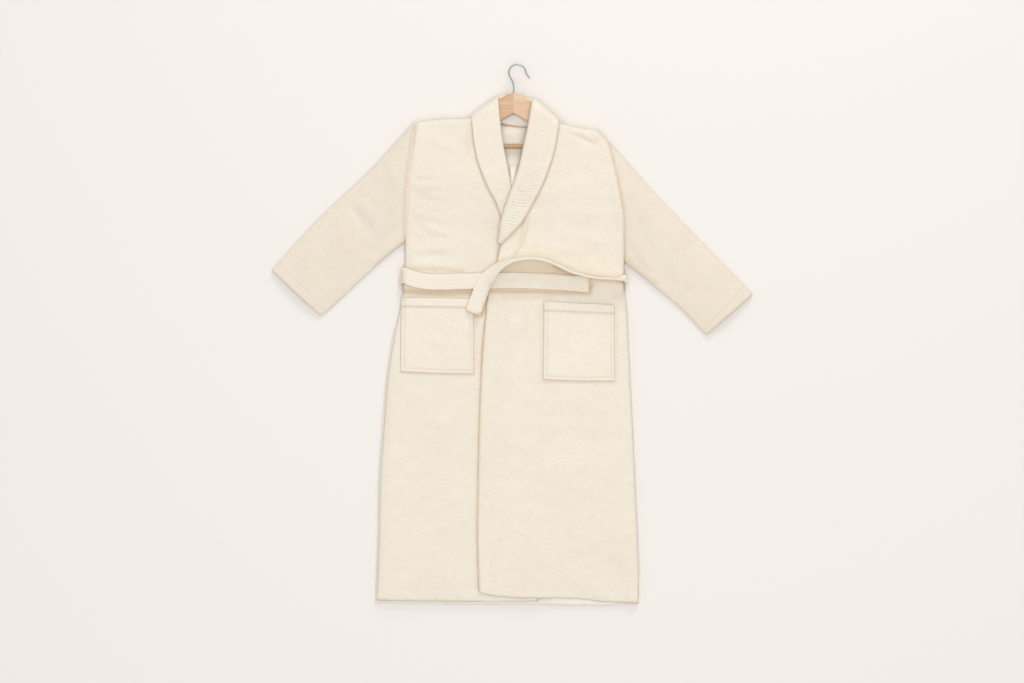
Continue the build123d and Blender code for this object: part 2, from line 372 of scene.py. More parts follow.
def cut_piece(left, right, hem, top, across, along, height):
    """A grid of cloth between two side lines and from hem to top, raised to height.

    height(x, y, from_left, from_right, from_hem, from_top) is its top face there.
    """
    mesh = bmesh.new()
    bmesh.ops.create_grid(mesh, x_segments=across, y_segments=along, size=0.5)
    spread = mesh.loops.layers.uv.new("UVMap")
    for vert in mesh.verts:
        u, w = vert.co.x + 0.5, vert.co.y + 0.5
        y = hem(u) * (1 - w) + top(u) * w
        wide, from_hem, from_top = right(y) - left(y), y - hem(u), top(u) - y
        x = left(y) + wide * u
        x += 0.8 * noise.noise(Vector((x / 7, y / 7, 2.5)))
        slow, quick = Vector((x / 13, y / 40, 4.5)), Vector((x / 5, y / 9, 8.5))
        y += 1.3 * noise.noise(slow) + 0.7 * noise.noise(quick)
        for loop in vert.link_loops:
            loop[spread].uv = (u * wide * mm, from_hem * mm)
        vert.co = (x, y, height(x, y, u * wide, (1 - u) * wide, from_hem, from_top))
    return mesh


def level(value):
    return lambda _: value


belt_bump = smooth((98, 0), (111, 4.8), (152, 4.8), (165, 0))
right_side = smooth(
    (-650, -326), (-470, -320), (-341, -317), (-213, -308), (-103, -299), (-4, -284), (60, -270),
    (105, -262), (150, -260), (175, -257.5), (222, -257.5), (293, -256), (367, -252),
    (440, -243), (513, -233),
)
left_side = smooth(
    (-650, 304), (-555, 305), (-385, 298), (-255, 292), (-135, 286), (-17, 280.5), (81, 275),
    (110, 270), (150, 270), (179, 270), (227, 269), (283, 269), (311, 265), (374, 252),
    (429, 239), (460, 230), (495, 202),
)
neck_folds = [
    (-30, 486, 36, 484, 7, 1.6), (-26, 470, 40, 466, 6, -1.3), (-20, 426, 28, 428, 7, 1.4),
    (-22, 412, 20, 408, 5, -1.2), (3, 430, 5, 352, 5, -1.4),
]
neck_rise = smooth((330, 0), (352, 28), (400, 28), (412, 13), (440, 7.5), (500, 7), (512, 0))
neck_half = smooth((330, 10), (352, 10), (400, 16), (420, 30), (460, 44), (512, 60))
back_top_face, neck_middle = 4.3, 3


def back_height(x, y, from_right, from_left, from_hem, from_top):
    """The back's top face: flat, curled up a little at its edges, raised in the neck."""
    curl = 1.2 * (1 - rolled(min(from_right, from_left, from_hem), 14))
    rise = neck_rise(y) * math.exp(-(((x - neck_middle) / neck_half(y)) ** 4))
    waves = 0.25 * uneven(x, y, 3) + folds_at(x, y, neck_folds)
    return back_top_face + belt_bump(y) + rise + curl + waves


back_hem = smooth((0, -645), (0.3, -647.5), (0.55, -648), (0.8, -650), (1, -649.5))
back_top = smooth(
    (0, 511), (0.2, 518), (0.35, 519), (0.45, 510), (0.55, 500), (0.64, 505), (0.72, 514), (0.82, 507),
    (1, 493),
)
back_past = smooth((-650, 2.5), (0, 2.5), (70, -2), (513, -2))
# The back's terry is painted lighter than the fronts', a painted light for the shaded neck opening where it
# shows.
back_terry = terry_material("back_terry", (0.955, 0.905, 0.80), (0.89, 0.82, 0.70))
back = cloth(
    "back_cloth",
    cut_piece(
        lambda y: right_side(y) - back_past(y), lambda y: left_side(y) - 2, back_hem, back_top,
        100, 180, back_height,
    ),
    back_terry, "root", thick=3.8, smooth_levels=0,
)
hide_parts("back_panel")

# The two fronts lie on the back, the wearer's left one on top. They are terry with a
# turned hem, sewn to the back at the sides and shoulders and raised by the hanger.
right_base = smooth((-650, 12.5), (-600, 15), (60, 15.5), (240, 16.5), (330, 27), (385, 34), (600, 35))
left_base = smooth(
    (-650, 17.5), (-600, 19.5), (150, 20.5), (215, 26.5), (240, 27), (300, 33), (350, 39), (600, 39.5)
)
right_folds = [
    (-240, 372, -190, 371, 5, -1.5), (-245, 352, -150, 356, 10, 1.3), (-236, 330, -160, 316, 7, -1.0),
    (-240, 300, -185, 270, 7, 1.2), (-226, 285, -170, 262, 6, -1.1), (-245, 262, -205, 225, 7, 1.2),
    (-215, 262, -150, 240, 8, 1.1), (-236, 232, -150, 236, 7, -1.0), (-250, 205, -130, 212, 9, 1.3),
    (-240, 186, -150, 190, 7, -1.1), (-120, 230, -60, 215, 10, 0.9), (-245, 172, -120, 166, 8, 1.3),
    (-236, 498, -250, 405, 6, -2.0), (-222, 500, -238, 400, 9, 1.5), (-200, 470, -130, 445, 16, 1.4),
    (-252, 101, -110, 96, 8, -3.2), (-240, 93, -120, 90, 6, 1.8), (-300, -160, -200, -150, 20, 0.8),
    (-296, -250, -296, -420, 14, 0.9), (-150, -150, -160, -600, 22, 1.0),
    (-230, -130, -240, -560, 26, -0.9), (-280, -200, -120, -215, 12, 0.7),
    (-270, -330, -150, -318, 14, 0.7), (-190, -420, -100, -405, 12, -0.7),
]
left_folds = [
    (137, 494, 205, 462, 7, 2.4), (150, 480, 214, 446, 7, -1.8), (190, 488, 211, 466, 8, 2.0),
    (43, 309, 22, 214, 6, 1.9), (34, 300, 5, 189, 5, -1.8), (100, 300, 230, 285, 15, 1.2),
    (110, 240, 240, 225, 13, 1.4), (60, 205, 190, 200, 12, 1.1), (238, 400, 262, 250, 8, 1.4),
    (-5, 102, -12, 12, 7, 2.2), (12, 104, 8, 30, 6, -1.8), (40, 102, 36, 20, 8, 2.0),
    (67, 102, 64, 40, 7, 1.6),
    (274, 127, 250, 74, 6, 2.4), (262, 124, 236, 80, 6, -1.8), (130, 100, 128, 84, 10, 1.2),
    (-58, 60, -72, -120, 7, 1.6), (-40, 70, -52, -200, 10, -1.3), (60, -150, 70, -560, 28, 1.0),
    (180, -160, 190, -600, 30, -1.0), (240, -140, 250, -500, 18, 0.9), (-20, -120, -10, -600, 24, 0.9),
    (0, -210, 140, -225, 14, 0.7), (60, -330, 230, -315, 16, 0.7), (-40, -440, 110, -455, 14, -0.7),
]
right_waves, left_waves = 11, 23  # each front's own pattern of waves, which its collar follows
side_seam_height, shoulder_seam_height, front_hem = 7.5, 7.0, 22
side_radius, shoulder_radius, free_radius = 26, 13, 6  # how round a front falls at its edges
under_collar = 60  # the neck end of a shoulder seam, which the collar covers
groove_width, groove_depth, corner_depth, corner_length = 6, 4.5, 9, 70


def front_height(base, folds, seed, armhole, x, y, from_side, from_edge, from_hem, from_top):
    """The top of a front: rolled down at its sewn edges, grooved along the armhole."""
    inside = base(y) + uneven(x, y, seed) + 1.5 * folds_at(x, y, folds)
    at_sleeve = armhole(y)
    seam_roll_and_painted_shade = rolled(from_side, side_radius)
    seam_roll_and_painted_shade += (1 - seam_roll_and_painted_shade) * at_sleeve
    sewn = side_seam_height + belt_bump(y) * 0.6
    height = sewn + (inside - sewn) * seam_roll_and_painted_shade
    groove = groove_depth + corner_depth * max(0.0, 1 - from_top / corner_length)
    height -= groove * at_sleeve * math.exp(-((from_side / groove_width) ** 2))
    shoulder = rolled(from_top, shoulder_radius) if from_edge > under_collar else 1
    height = shoulder_seam_height + (height - shoulder_seam_height) * shoulder
    hem_band = 0.5 if from_hem < front_hem else 0
    return height + hem_band - 2.2 * (1 - rolled(min(from_edge, from_hem), free_radius))


right_at_sleeve, left_at_sleeve = smooth((208, 0), (236, 1)), smooth((162, 0), (192, 1))
far_off = 400  # from a free edge, where it doesn't bend the cloth
right_bottom, right_crest, left_bottom, left_crest = -641, 521, -640, 510


def right_height(x, y):
    """The right front's top, well inside its free edges."""
    return right_front_at(x, y, x - right_side(y), far_off, y - right_bottom, right_crest - y)


def left_height(x, y):
    """The left front's top, well inside its free edges."""
    return left_front_at(x, y, far_off, left_side(y) - x, y - left_bottom, left_crest - y)


right_roll = smooth(
    (-650, 62), (-300, 62), (80, 56), (190, 42), (270, 22), (350, -2), (403, -12.5), (459, -24),
    (514, -31), (540, -32),
)
left_edge = smooth(
    (-640, -72), (-618, -79), (-589, -81), (-470, -84), (-341, -82), (-213, -79), (-103, -75),
    (-20, -70), (29, -65), (103, -58), (178, -36), (215, -28), (270, -17), (295, -14), (350, 4),
    (362, 9), (407, 23), (451, 33), (499, 44), (540, 49),
)
right_hem = smooth((0, -639), (0.3, -641), (0.6, -642), (1, -641))
left_hem = smooth((0, -615), (0.025, -623), (0.21, -632), (0.55, -634), (0.8, -643.5), (1, -646))
right_top = smooth((0, 512), (0.31, 519), (0.58, 521), (0.8, 525), (1, 522))
left_top = smooth((0, 528), (0.23, 519), (0.42, 511), (0.7, 501), (1, 493))

right_armhole = [(right_side(y) - 1, y) for y in range(215, 514, 20)]
left_armhole = [(left_side(y) + 1, y) for y in range(172, 500, 20)]
right_collar_edge = [(-96, 517), (-95, 472), (-84, 416), (-61, 356), (-40, 317), (-24, 275)]
left_collar_edge = [
    (108, 511), (107.5, 489), (98, 437), (86, 399), (69, 356), (43, 309), (33.6, 290), (19, 268),
    (-5, 242), (-24, 224), (-34, 201), (-38, 178),
]
overlap = [(left_edge(y) - 1, y) for y in range(-610, 230, 30)]
front_terry = terry_material("front_terry", (0.895, 0.832, 0.722), (0.806, 0.716, 0.586))


def right_front_at(x, y, from_side, from_edge, from_hem, from_top):
    return front_height(
        right_base, right_folds, right_waves, right_at_sleeve, x, y,
        from_side, from_edge, from_hem, from_top,
    )


sag_across, sag_along = smooth((62, 0), (130, 8.5), (305, 8.5)), smooth((0, 1), (150, 0))


def left_front_at(x, y, from_edge, from_side, from_hem, from_top):
    """As the right front, and lower at the hem where no other front lies under it."""
    sag = sag_across(x) * sag_along(from_hem) * rolled(from_side, 45) ** 2
    return front_height(
        left_base, left_folds, left_waves, left_at_sleeve, x, y,
        from_side, from_edge, from_hem, from_top,
    ) - sag


right_front = cloth(
    "right_front_cloth",
    cut_piece(right_side, right_roll, right_hem, right_top, 92, 275, right_front_at),
    front_terry, "root", smooth_levels=0,
    # shades: painted shade in brown along the armhole, the collar's edge and the overlap, and painted shadows
    # of the belt, its free end, the pocket and the hem.
    shades=[
        (right_armhole, 4, 0.4), (right_collar_edge, 4, 0.55), (overlap, 4, 0.45),
        ([(-262, 104), (-100, 102)], 7, 0.8), ([(-250, 92), (-120, 88)], 7, 0.35),  # below the belt
        ([(-265, 160), (-120, 154)], 4, 0.4),  # above the belt
        ([(-118, 60), (-92, 44), (-72, 48), (-52, 98)], 6, 0.7),  # round the belt's free end
        ([(-88, 86), (-90, -96), (-268, -91)], 4, 0.2),  # round the pocket
        ([(-100, 508), (-104, 440)], 8, 0.2),  # beside the neck
        ([(-325, -641), (-200, -643), (-70, -644)], 4, 0.55), ([(-325, -640), (-290, -643)], 5, 0.9),  # hem
    ],
)
left_front = cloth(
    "left_front_cloth",
    cut_piece(left_edge, left_side, left_hem, left_top, 92, 275, left_front_at),
    front_terry, "root", smooth_levels=0,
    # shades: painted shade in brown along the armhole, the collar's edge and the free edge, painted shadow in
    # the belt's arch and under its raised end and run, and painted shade round the pocket, in the crease
    # below the collar and along the hem.
    shades=[
        (left_armhole, 4, 0.4), (left_collar_edge, 4, 0.7),
        ([(left_edge(y) + 1, y) for y in range(-610, 175, 30)], 4, 0.4),
        ([(-20, 152), (20, 160), (70, 160), (120, 148)], 15, 0.4),  # in the belt's arch
        ([(100, 164), (150, 141), (275, 126)], 5, 0.9),  # under the belt's raised end
        ([(-62, 105), (40, 103), (186, 100), (191, 118)], 6, 0.8), ([(-20, 92), (100, 90)], 8, 0.3),  # belt
        ([(72, 70), (70, -112), (250, -116), (250, 66)], 4, 0.2),  # round the pocket
        ([(43, 300), (35, 249), (22, 214), (5, 189)], 4, 0.35),  # the crease below the collar
        ([(-78, -625), (-30, -633), (60, -636), (130, -638), (225, -646), (305, -648)], 4, 0.6),  # hem
        ([(255, -647), (305, -648)], 5, 0.9),  # hem, at the side
    ],
)
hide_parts("right_front_panel")
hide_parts("left_front_panel")

# Each sleeve is a terry tube pressed nearly flat, set into the armhole and closed with a
# turned and stitched cuff.
cuff_hem, cuff_rise = 29.0, 0.9
widest = 0.3  # where a flattened sleeve is widest, as a share of its height
plumpness = 0.55  # how soon a flattened sleeve reaches its height; 1 is an ellipse
armhole_reach = 0.45  # how far down a sleeve the armhole raises it, as a share of its length


def sleeve_tube(shoulder, under, tall, folds, seed):
    """A tube between its top and underarm lines; tall(share across, along) is its height."""
    mesh = bmesh.new()
    bmesh.ops.create_grid(mesh, x_segments=64, y_segments=80, size=0.5)
    spread = mesh.loops.layers.uv.new("UVMap")
    for vert in mesh.verts:
        turn, w = (vert.co.x + 0.5) * 2 * math.pi, vert.co.y + 0.5
        high, low = shoulder(w), under(w)
        side, lift = math.cos(turn), math.sin(turn)
        across = math.copysign(abs(side) ** 0.75, side)
        place = (high + low) / 2 + (high - low) / 2 * across
        height = tall((across + 1) / 2, w)
        from_cuff = (shoulder(1) - high).length
        if lift > 0:
            wave = uneven(place.x, place.y, seed) + 1.2 * folds_at(place.x, place.y, folds)
            band = cuff_rise if from_cuff < cuff_hem else 0
            z = height * (widest + (1 - widest) * lift ** plumpness) + (wave + band) * lift ** 0.5
        else:
            z = height * widest * (1 - (-lift) ** plumpness)
        for loop in vert.link_loops:
            loop[spread].uv = (turn, from_cuff * mm)
        vert.co = (place.x, place.y, z + 0.4)
    bmesh.ops.remove_doubles(mesh, verts=mesh.verts, dist=0.01)
    bmesh.ops.recalc_face_normals(mesh, faces=mesh.faces)
    return mesh


# The sleeves' terry is painted darker than the fronts', a painted shade for the light that falls off towards
# them.
sleeve_terry = terry_material(
    "sleeve_terry", (0.862, 0.788, 0.672), (0.768, 0.668, 0.540),
    lines=[("Y", 0, cuff_hem * mm, 0.0022, 1.5)],
)
right_sleeve_folds = [
    (-392, 312, -330, 232, 9, -3.2), (-362, 322, -318, 262, 12, 2.2), (-420, 262, -380, 190, 12, 1.6),
    (-300, 430, -268, 330, 13, 1.6), (-500, 190, -450, 110, 16, 1.2), (-262, 300, -330, 225, 10, 1.8),
    (-290, 250, -340, 180, 8, -1.6),
]
left_sleeve_folds = [
    (300, 360, 330, 250, 13, 1.6), (290, 310, 340, 190, 9, -1.8), (380, 280, 360, 170, 12, 1.7),
    (420, 230, 430, 120, 13, -1.3), (480, 170, 440, 80, 12, 1.4), (278, 250, 340, 150, 8, 1.8),
]


def right_sleeve_tall(across, along):
    """The height of the sleeve: high and uneven at the armhole, low at the cuff."""
    armhole = smooth((0, 15.5), (0.25, 19), (0.6, 30), (0.85, 33), (1, 27))(across)
    rest = smooth((0, 13), (0.5, 18), (1, 13))(across)
    share = min(1, along / armhole_reach)
    share = share * share * (3 - 2 * share)
    return (armhole * (1 - share) + rest * share) * (1 - 0.26 * along)


def left_sleeve_tall(across, along):
    return right_sleeve_tall(across, along) + 3.5 * max(0, 1 - along / 0.3) * across


right_sleeve = cloth(
    "right_sleeve_cloth",
    sleeve_tube(
        drawn((-233, 512), (-290, 449), (-347, 389), (-458, 286), (-579, 155)),
        drawn((-257, 224), (-281, 206), (-308, 184), (-368, 129), (-428, 73), (-460, 45)),
        right_sleeve_tall, right_sleeve_folds, 41,
    ),
    sleeve_terry, None,
    # shades: painted shade in brown beside the armhole, under the arm and along the cuff.
    shades=[
        ([(x - 1.5, y) for x, y in right_armhole], 3.5, 0.45),
        ([(-262, 222), (-330, 165)], 7, 0.3),  # underarm
        ([(-580, 155), (-460, 44)], 4, 0.35),  # cuff
    ],
)
left_sleeve = cloth(
    "left_sleeve_cloth",
    sleeve_tube(
        drawn((209, 488), (240, 455), (279, 411), (371, 311), (459, 220), (536, 142), (580, 97)),
        drawn((270, 176), (300, 151), (334, 124), (408, 62), (468, -1)),
        left_sleeve_tall, left_sleeve_folds, 53,
    ),
    sleeve_terry, None,
    # shades: painted shade in brown beside the armhole, under the arm and along the cuff.
    shades=[
        ([(x + 1.5, y) for x, y in left_armhole], 3.5, 0.4),
        ([(276, 178), (345, 122)], 7, 0.3),  # underarm
        ([(581, 97), (468, -2)], 5, 0.6),  # cuff
    ],
)
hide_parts("right_sleeve")
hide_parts("left_sleeve")
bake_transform(right_sleeve)
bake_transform(left_sleeve)

# The shawl collar is two layers of terry with woven cross ribs, rolled over at the
# front edge. Each half runs from the front over the neck side to the back seam.
rib_pitch, rib_fade = 9.0, 10  # the ribs fade out towards both edges
collar_crease, collar_edge_radius, collar_roll_radius, collar_top_radius = 3, 6, 9, 22


def length_of(path, steps):
    return sum((path((i + 1) / steps) - path(i / steps)).length for i in range(steps))


def collar_strip(outer, inner, under, lift, slant, ribs, across, along, drop):
    """A half collar between its outer edge and its roll, with raised cross ribs."""
    mesh = bmesh.new()
    bmesh.ops.create_grid(mesh, x_segments=across, y_segments=along, size=0.5)
    spread = mesh.loops.layers.uv.new("UVMap")
    seam_roll_and_painted_shade = mesh.verts.layers.float.new("seam_roll_and_painted_shade")
    length = length_of(outer, 40)
    for vert in mesh.verts:
        u, w = vert.co.x + 0.5, vert.co.y + 0.5
        edge, roll = outer(w), inner(w)
        place = edge.lerp(roll, u)
        wide = (roll - edge).length
        from_edge, from_roll, from_top = u * wide, (1 - u) * wide, (1 - w) * length
        rise = lift * min(1, wide / 18)
        z = under(place.x, place.y) + rise
        z += 0.35 * uneven(place.x, place.y, 61)
        # Painted shade in brown: a strong line along the outer edge, a fainter one along the roll, and shade
        # in the troughs between the ribs.
        vert[seam_roll_and_painted_shade] = 0.55 * math.exp(-((from_edge / collar_crease) ** 2))
        vert[seam_roll_and_painted_shade] += 0.25 * math.exp(-((from_roll / collar_crease) ** 2))
        phase = (w * length + slant(w) * from_edge) / rib_pitch
        shape = math.cos(2 * math.pi * phase)
        ribbed = min(1, from_edge / rib_fade)
        vert[seam_roll_and_painted_shade] = max(vert[seam_roll_and_painted_shade], 0.14 * ribs * (1 - shape) * ribbed)
        z += ribs * shape * ribbed * min(1, from_roll / rib_fade)
        z -= rise * 0.75 * (1 - rolled(from_edge, collar_edge_radius))
        z -= rise * 0.9 * (1 - rolled(from_roll, collar_roll_radius))
        z -= drop * (1 - rolled(from_top, collar_top_radius))
        for loop in vert.link_loops:
            loop[spread].uv = (from_edge * mm, w * length * mm)
        vert.co = (place.x, place.y, z)
    return mesh


collar_terry = terry_material("collar_terry", (0.905, 0.848, 0.742), (0.816, 0.732, 0.606), pile_bump=0.8)


def under_right_collar(x, y):
    return right_base(y) + 0.4 * uneven(x, y, right_waves)


def under_left_collar(x, y):
    return left_base(y) + 0.4 * uneven(x, y, left_waves)


left_rib_slant = smooth((0, 0.2), (0.3, 0.5), (0.5, 1.0), (1, 1.2))
right_collar = cloth(
    "right_collar_cloth",
    collar_strip(
        drawn(
            (20, 215), (-2, 243), (-21, 271), (-39, 317), (-60, 356), (-83, 416), (-94, 472), (-97, 506),
            (-101, 524),
        ),
        drawn(
            (40, 215), (30, 245), (20, 280), (0.5, 350), (-9.5, 403), (-21, 459), (-28, 514), (-31, 548),
            (-33, 575),
        ),
        under_right_collar, 5.2, level(-0.5), 0.4, 44, 170, 26,
    ),
    collar_terry, "root", thick=5.0, smooth_levels=0,
)
left_collar = cloth(
    "left_collar_cloth",
    collar_strip(
        drawn(
            (-28, 218), (-22, 226), (-5, 242), (19, 268), (33.6, 290), (43, 307), (69, 356), (86, 399),
            (98, 437), (107.5, 489), (108.5, 506), (105, 517),
        ),
        drawn(
            (-30, 219), (-28, 232), (-26, 250), (-22, 276), (-12, 310), (3, 350), (9, 366), (21, 407),
            (30.5, 451), (41, 499), (48, 540), (52, 565),
        ),
        under_left_collar, 5.4, left_rib_slant, 0.5, 48, 200, 28,
    ),
    collar_terry, "root", thick=5.0, smooth_levels=0,
)
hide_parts("collar_right_half")
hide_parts("collar_left_half")

# Behind the neck the collar stands on the neck seam and folds over outwards. It is the
# same two layers of terry, and both halves end in it.
neck_fold = smooth((-101, 526), (-77, 546), (-34, 573), (4, 577), (50, 566), (79, 547), (106, 516))
neck_seam = smooth((-101, 500), (-40, 508), (4, 500), (45, 497), (106, 500))
stand_start, stand_length = -100, 205
stand_height, stand_bulge, fold_bottom, fold_radius, bulge_radius = 11.5, 2.4, 5.5, 8, 10
stand_mesh = bmesh.new()
bmesh.ops.create_grid(stand_mesh, x_segments=70, y_segments=28, size=0.5)
for vert in stand_mesh.verts:
    share = vert.co.y + 0.5
    x = stand_start + stand_length * (vert.co.x + 0.5)
    y = neck_seam(x) * (1 - share) + neck_fold(x) * share
    from_fold, from_seam = neck_fold(x) - y, y - neck_seam(x)
    z = stand_height + stand_bulge * rolled(from_seam, bulge_radius) + 0.25 * uneven(x, y, 71)
    vert.co = (x, y, fold_bottom + (z - fold_bottom) * rolled(from_fold, fold_radius))
# The stand's terry is painted lighter than the rest, a painted light for the shade it lies in behind the
# neck.
stand_terry = terry_material("stand_terry", (0.94, 0.91, 0.84), (0.88, 0.83, 0.74))
neck_stand = cloth(
    "neck_stand_cloth", stand_mesh, stand_terry, "root", thick=4.5, smooth_levels=0,
    # shades: a painted shadow line along the neck seam.
    shades=[([(x, neck_seam(x)) for x in range(-60, 71, 10)], 4, 1.0)],
)
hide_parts("collar_right_half", "collar_left_half")

# The patch pockets are terry, turned in and stitched at the sides and bottom, with a
# deep turned hem along the open top edge.
pocket_hem, pocket_border = 22.0, 9.0
pocket_rise, pocket_radius, hem_rise, mouth_radius = 4.0, 8, 1.3, 5


def pocket_piece(name, left, right, bottom, top, front, seed):
    """A pocket on a front's top face: sewn down all round but for its hemmed mouth."""
    mesh = bmesh.new()
    bmesh.ops.create_grid(mesh, x_segments=84, y_segments=88, size=0.5)
    spread = mesh.loops.layers.uv.new("UVMap")
    seam_roll_and_painted_shade = mesh.verts.layers.float.new("seam_roll_and_painted_shade")
    for vert in mesh.verts:
        u, w = vert.co.x + 0.5, vert.co.y + 0.5
        x = left(w) * (1 - u) + right(w) * u
        y = bottom(u) * (1 - w) + top(u) * w
        wide, tall = right(w) - left(w), top(u) - bottom(u)
        from_side = min(u, 1 - u) * wide
        from_bottom, from_top = w * tall, (1 - w) * tall
        sewn = min(from_side, from_bottom)
        z = front(x, y) + 0.8 + pocket_rise * rolled(sewn, pocket_radius)
        if from_top > 6:  # the stitching stops short of the mouth
            z -= 1.5 * math.exp(-(((sewn - pocket_border) / 2.6) ** 2))
        if from_top < pocket_hem:
            z += hem_rise
        z += 0.5 * uneven(x, y, seed) - 1.5 * (1 - rolled(from_top, mouth_radius))
        # Painted shade in brown: in the stitching groove, along the sewn edges and along the line under the
        # hem.
        vert[seam_roll_and_painted_shade] = 0.28 * math.exp(-(((sewn - pocket_border) / 1.8) ** 2))
        vert[seam_roll_and_painted_shade] += 0.25 * math.exp(-((sewn / 2) ** 2))
        vert[seam_roll_and_painted_shade] += 0.3 * math.exp(-(((from_top - pocket_hem) / 4) ** 2))
        for loop in vert.link_loops:
            loop[spread].uv = (u * wide * mm, from_top * mm)
        vert.co = (x, y, z)
    return cloth(name, mesh, pocket_terry, "root", thick=3.6, smooth_levels=0)


pocket_terry = terry_material(
    "pocket_terry", (0.905, 0.845, 0.740), (0.815, 0.730, 0.604),
    lines=[("Y", 0, pocket_hem * mm, 0.003, 1.5)],
)
right_pocket = pocket_piece(
    "right_pocket_cloth", smooth((0, -269), (1, -267)), level(-91.5),
    smooth((0, -89), (0.5, -93.5), (1, -95)), smooth((0, 89), (0.5, 88), (1, 86)), right_height, 81,
)
left_pocket = pocket_piece(
    "left_pocket_cloth", smooth((0, 74), (1, 76)), smooth((0, 247), (1, 246)),
    smooth((0, -108), (0.5, -112), (1, -112)), smooth((0, 80), (0.5, 76), (1, 72)), left_height, 87,
)
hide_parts("right_pocket")
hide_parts("left_pocket")

# The belt is one strap of doubled terry, 37 mm wide, stitched in rows along its length.
# It runs behind the back, and its two ends come round the sides and over the front.
belt_width, belt_thick, belt_rows, belt_end_radius = 37.0, 5.0, 6, 3.5


def strap(name, path, side_at, along, body, shades=(), bunched=level(1)):
    """A strap on a path. side_at(share, heading) points along the strap's width."""
    mesh = bmesh.new()
    bmesh.ops.create_grid(mesh, x_segments=72, y_segments=along, size=0.5)
    spread = mesh.loops.layers.uv.new("UVMap")
    length = length_of(path, 60)
    for vert in mesh.verts:
        turn, w = (vert.co.x + 0.5) * 2 * math.pi, vert.co.y + 0.5
        place = path(w)
        heading = (path(min(1, w + 0.004)) - path(max(0, w - 0.004))).normalized()
        side = side_at(w, heading)
        side = (side - heading * side.dot(heading)).normalized()
        face = heading.cross(side)
        c, s = math.cos(turn), math.sin(turn)
        end = rolled(min(w, 1 - w) * length, belt_end_radius)
        lateral = belt_width / 2 * math.copysign(abs(c) ** 0.6, c) * (0.93 + 0.07 * end) * bunched(w)
        row = math.cos(2 * math.pi * belt_rows * lateral / belt_width)
        half = belt_thick / 2 * (0.86 + 0.14 * row) * (0.35 + 0.65 * end)
        wave = 0.35 * noise.noise(Vector((w * length / 22, lateral / 14, 5)))
        raised = half * math.copysign(abs(s) ** 0.45, s) + wave
        place = place + side * (lateral + 2 * wave) + face * raised
        for loop in vert.link_loops:
            loop[spread].uv = (lateral * mm, w * length * mm)
        vert.co = place
    bmesh.ops.remove_doubles(mesh, verts=mesh.verts, dist=0.01)
    holes = [e for e in mesh.edges if e.is_boundary]
    bmesh.ops.holes_fill(mesh, edges=holes, sides=0)
    bmesh.ops.recalc_face_normals(mesh, faces=mesh.faces)
    piece = cloth(name, mesh, belt_terry, body, thick=0, smooth_levels=0, shades=shades)
    return piece, length


# The belt's terry is painted a little lighter than the fronts', a painted light against the shade its arch
# casts on it.
belt_terry = terry_material("belt_terry", (0.905, 0.842, 0.738), (0.815, 0.727, 0.606), pile_bump=0.7)

belt_run_path = drawn(
    (210, 131.5, 2.5), (0, 131.5, 2.5), (-240, 131.5, 2.5), (-257, 133, 3.0), (-264.2, 136, 7.5),
    (-264.6, 140, 15), (-260, 142.5, 21.5), (-247, 138, 23.6), (-225, 131, 23.2), (-190, 127, 22.6),
    (-130, 128, 23.3), (-60, 129.5, 24.8), (0, 130.5, 25.2), (60, 129, 25.0), (120, 125.5, 24.8),
    (187, 119.5, 24.2),
)
belt_run, belt_run_length = strap(
    "belt_cloth", belt_run_path, lambda w, heading: Vector((0, 1, 0)), 300, "root",
    # shades: painted shade in brown where the free end crosses it, at its end, under the arch and at the turn
    # at the side.
    shades=[
        ([(-56, 150), (-66, 108)], 7, 0.8),  # where the free end crosses it
        ([(186, 136), (187, 105)], 4, 0.7),  # its end
        ([(40, 152), (150, 143)], 4, 0.5),  # under the arch
        ([(-262, 150), (-262, 125)], 5, 0.4),  # the turn at the side
    ],
)
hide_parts("belt")


def arch_side(w, heading):
    """The strap twists onto its edge at the side, and falls flat again past the arch."""
    roll = math.radians(belt_roll(w))
    flat = Vector((0, 0, 1)).cross(Vector((heading.x, heading.y, 0)).normalized())
    if w < belt_turned:
        flat = Vector((0, -1, 0))
    return flat * math.cos(roll) + Vector((0, 0, 1)) * math.sin(roll)


belt_end_places = [
    (215, 131.5, 2.5), (255, 131.5, 2.6), (268, 131.5, 5), (272.5, 131.8, 14), (272, 132, 27),
    (262, 132.4, 38),
    (248, 132.8, 42), (230, 133.5, 43), (191, 137.5, 43.2), (142, 151, 43.5), (110, 166, 43.5),
    (82, 177.5, 43.5), (50, 183.5, 43.5), (13, 181, 43.5), (-12, 174, 43.2), (-34, 161, 42), (-52, 143, 38.5),
    (-68, 119.5, 33), (-82, 85, 28.8), (-94, 51, 27.8),
]
belt_end_rolls = [0, 0, 0, 8, 45, 80, 88, 89, 87, 84, 84, 83, 82, 79, 70, 58, 38, 14, 2, 0]
belt_shares = shares_of(belt_end_places)
belt_roll = smooth(*zip(belt_shares, belt_end_rolls))
belt_turned = belt_shares[6]
belt_end_path = drawn(*belt_end_places)
belt_end, belt_end_length = strap(
    "belt_end_cloth", belt_end_path, arch_side, 260, None,
    # shades: painted shade in brown along the end's hem and down one edge near it.
    shades=[([(-112, 59), (-90, 47), (-75, 51.5)], 4, 0.8), ([(-72, 64), (-60, 100), (-50, 124)], 3, 0.4)],
    bunched=smooth(
        (0, 1), (belt_shares[1], 1), (belt_shares[3], 0.6), (belt_shares[5], 0.75),
        (belt_shares[7], 1), (1, 1),
    ),
)
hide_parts("belt_arch", "belt_tail")
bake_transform(belt_end)

# A narrow loop of the belt's cloth is sewn by both ends to each side seam and holds
# the belt at the waist. way is -1 on the wearer's right side and 1 on the left.
loop_bottom, loop_span, loop_lowest, loop_width = 101, 61, 7.2, 7.4


